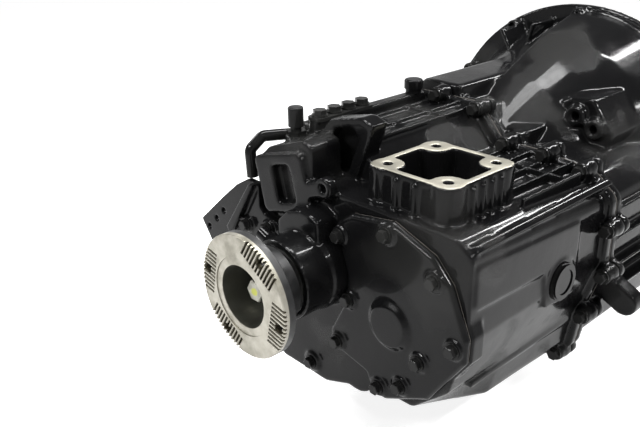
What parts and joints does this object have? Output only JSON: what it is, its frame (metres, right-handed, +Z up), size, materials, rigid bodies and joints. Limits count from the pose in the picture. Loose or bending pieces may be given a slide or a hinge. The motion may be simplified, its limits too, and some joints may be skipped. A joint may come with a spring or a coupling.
{
  "type": "manual transmission",
  "caption": "Truck gearbox with clutch bell, ribbed black case, open shift tower, side countershaft cover and a cross-toothed output flange.",
  "frame": {"origin": "centre of the bell housing's mounting face on the input shaft's axis", "axes": "+X forward along the shafts towards the engine, +Y left, +Z up"},
  "size_m": [0.726, 0.518, 0.489],
  "materials": {
    "black_paint": "gloss black enamel over cast metal",
    "machined_steel": "fine turned",
    "zinc_steel": "zinc plated",
    "gear_steel": "ground",
    "bearing_steel": "polished",
    "cast_iron": "as cast",
    "brass": "satin",
    "rubber": "matt",
    "gasket": "paper gasket"
  },
  "bodies": {
    "case": {"main_case": "black_paint", "bell_housing": "black_paint", "rear_cover": "black_paint", "cover_bolts": "black_paint", "seam_bolts": "black_paint", "side_cover": "black_paint", "oil_plugs": "black_paint", "detent_cover": "black_paint", "detent_plugs": "black_paint", "breather": "black_paint", "vent_pipe": "black_paint", "rear_bracket": "black_paint", "speed_sensor": "black_paint", "reverse_light_switch": "black_paint", "lock_plug": "black_paint", "seam_gasket": "gasket", "cover_gasket": "gasket", "guide_tube": "machined_steel", "guide_tube_bolts": "zinc_steel", "input_seal": "rubber", "output_seal": "rubber", "reverse_idler_pin": "gear_steel", "input_bearing_cup": "bearing_steel", "output_bearing_cup": "bearing_steel", "countershaft_bearing_cups": "bearing_steel"},
    "input": {"input_shaft": "gear_steel", "input_bearing_cone": "bearing_steel", "pilot_rollers": "bearing_steel"},
    "counter": {"countershaft": "gear_steel", "countershaft_drive_gear": "gear_steel", "countershaft_gear_6": "gear_steel", "countershaft_gear_4": "gear_steel", "countershaft_gear_3": "gear_steel", "countershaft_bearing_cones": "bearing_steel"},
    "output": {"main_shaft": "gear_steel", "synchro_hubs": "gear_steel", "baulk_rings": "brass", "output_bearing_cone": "bearing_steel", "pulse_wheel": "gear_steel", "output_flange": "machined_steel", "flange_bolt": "zinc_steel"},
    "wheel_1": {"gear_1": "gear_steel"},
    "wheel_2": {"gear_2": "gear_steel"},
    "wheel_3": {"gear_3": "gear_steel"},
    "wheel_4": {"gear_4": "gear_steel"},
    "wheel_6": {"gear_6": "gear_steel"},
    "wheel_reverse": {"gear_reverse": "gear_steel"},
    "idler": {"reverse_idler_gear": "gear_steel"},
    "sleeve_12_body": {"sleeve_12": "gear_steel"},
    "selector_12": {"rail_12": "gear_steel", "fork_12": "cast_iron"},
    "sleeve_34_body": {"sleeve_34": "gear_steel"},
    "selector_34": {"rail_34": "gear_steel", "fork_34": "cast_iron"},
    "sleeve_56_body": {"sleeve_56": "gear_steel"},
    "selector_56": {"rail_56": "gear_steel", "fork_56": "cast_iron"},
    "sleeve_reverse_body": {"sleeve_reverse": "gear_steel"},
    "selector_reverse": {"rail_reverse": "gear_steel", "fork_reverse": "cast_iron"}
  },
  "joints": [
    {"name": "countershaft_spin", "type": "hinge", "parent": "case", "child": "counter", "pos_m": [-0.447, -0.12153, -0.03325], "axis": [1, 0, 0], "continuous": true},
    {"name": "input_spin", "type": "hinge", "parent": "case", "child": "input", "pos_m": [-0.207, 0, 0], "axis": [1, 0, 0], "continuous": true},
    {"name": "output_spin", "type": "hinge", "parent": "case", "child": "output", "pos_m": [-0.507, 0, 0], "axis": [1, 0, 0], "continuous": true},
    {"name": "reverse_idler_spin", "type": "hinge", "parent": "case", "child": "idler", "pos_m": [-0.547, -0.07961, -0.09178], "axis": [1, 0, 0], "continuous": true},
    {"name": "gear_1_spin", "type": "hinge", "parent": "case", "child": "wheel_1", "pos_m": [-0.503, 0, 0], "axis": [1, 0, 0], "continuous": true},
    {"name": "gear_2_spin", "type": "hinge", "parent": "case", "child": "wheel_2", "pos_m": [-0.452, 0, 0], "axis": [1, 0, 0], "continuous": true},
    {"name": "gear_3_spin", "type": "hinge", "parent": "case", "child": "wheel_3", "pos_m": [-0.431, 0, 0], "axis": [1, 0, 0], "continuous": true},
    {"name": "gear_4_spin", "type": "hinge", "parent": "case", "child": "wheel_4", "pos_m": [-0.383, 0, 0], "axis": [1, 0, 0], "continuous": true},
    {"name": "gear_6_spin", "type": "hinge", "parent": "case", "child": "wheel_6", "pos_m": [-0.364, 0, 0], "axis": [1, 0, 0], "continuous": true},
    {"name": "gear_reverse_spin", "type": "hinge", "parent": "case", "child": "wheel_reverse", "pos_m": [-0.546, 0, 0], "axis": [1, 0, 0], "continuous": true},
    {"name": "selector_12_slide", "type": "slide", "parent": "case", "child": "selector_12", "axis": [1, 0, 0], "range_m": [-0.0075, 0.0075]},
    {"name": "sleeve_12_slide", "type": "slide", "parent": "output", "child": "sleeve_12_body", "axis": [1, 0, 0], "range_m": [-0.0075, 0.0075]},
    {"name": "selector_34_slide", "type": "slide", "parent": "case", "child": "selector_34", "axis": [1, 0, 0], "range_m": [-0.0075, 0.0075]},
    {"name": "sleeve_34_slide", "type": "slide", "parent": "output", "child": "sleeve_34_body", "axis": [1, 0, 0], "range_m": [-0.0075, 0.0075]},
    {"name": "selector_56_slide", "type": "slide", "parent": "case", "child": "selector_56", "axis": [1, 0, 0], "range_m": [-0.0075, 0.0075]},
    {"name": "sleeve_56_slide", "type": "slide", "parent": "output", "child": "sleeve_56_body", "axis": [1, 0, 0], "range_m": [-0.0075, 0.0075]},
    {"name": "selector_reverse_slide", "type": "slide", "parent": "case", "child": "selector_reverse", "axis": [1, 0, 0], "range_m": [-0.0075, 0]},
    {"name": "sleeve_reverse_slide", "type": "slide", "parent": "output", "child": "sleeve_reverse_body", "axis": [1, 0, 0], "range_m": [-0.0075, 0]}
  ],
  "couplings": [
    {"joint": "input_spin", "follows": "countershaft_spin", "ratio": -1.3333},
    {"joint": "reverse_idler_spin", "follows": "countershaft_spin", "ratio": -0.77778},
    {"joint": "gear_1_spin", "follows": "countershaft_spin", "ratio": -0.27273},
    {"joint": "gear_2_spin", "follows": "countershaft_spin", "ratio": -0.47368},
    {"joint": "gear_3_spin", "follows": "countershaft_spin", "ratio": -0.69697},
    {"joint": "gear_4_spin", "follows": "countershaft_spin", "ratio": -1.0741},
    {"joint": "gear_6_spin", "follows": "countershaft_spin", "ratio": -1.6667},
    {"joint": "gear_reverse_spin", "follows": "countershaft_spin", "ratio": 0.38889},
    {"joint": "sleeve_12_slide", "follows": "selector_12_slide", "ratio": 1},
    {"joint": "sleeve_34_slide", "follows": "selector_34_slide", "ratio": 1},
    {"joint": "sleeve_56_slide", "follows": "selector_56_slide", "ratio": 1},
    {"joint": "sleeve_reverse_slide", "follows": "selector_reverse_slide", "ratio": 1}
  ]
}
